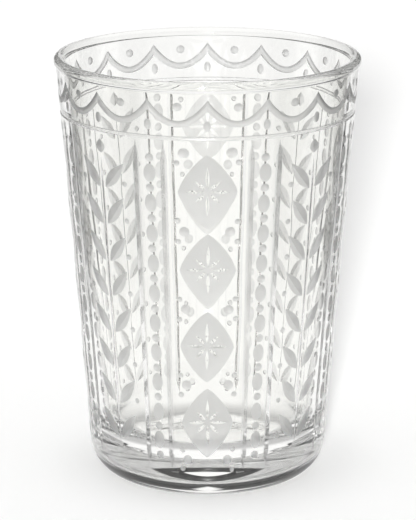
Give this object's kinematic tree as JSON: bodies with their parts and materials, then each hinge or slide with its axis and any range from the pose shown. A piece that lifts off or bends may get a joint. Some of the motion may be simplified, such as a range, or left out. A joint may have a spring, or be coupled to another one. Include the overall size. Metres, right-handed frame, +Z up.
{
  "type": "cut glass juice tumbler",
  "caption": "Tapered juice tumbler of clear cut crystal, open at the top, with a rounded drinking edge, a thick base and a hollow foot it stands on.",
  "frame": {"origin": "centre of the foot, on the surface the glass stands on", "axes": "+Z up along the axis of the glass, -Y towards the viewer of the picture"},
  "size_m": [0.071, 0.071, 0.1],
  "materials": {
    "crystal": "clear polished crystal with ground satin cuts"
  },
  "bodies": {
    "root": {"tumbler": "crystal"}
  },
  "joints": []
}
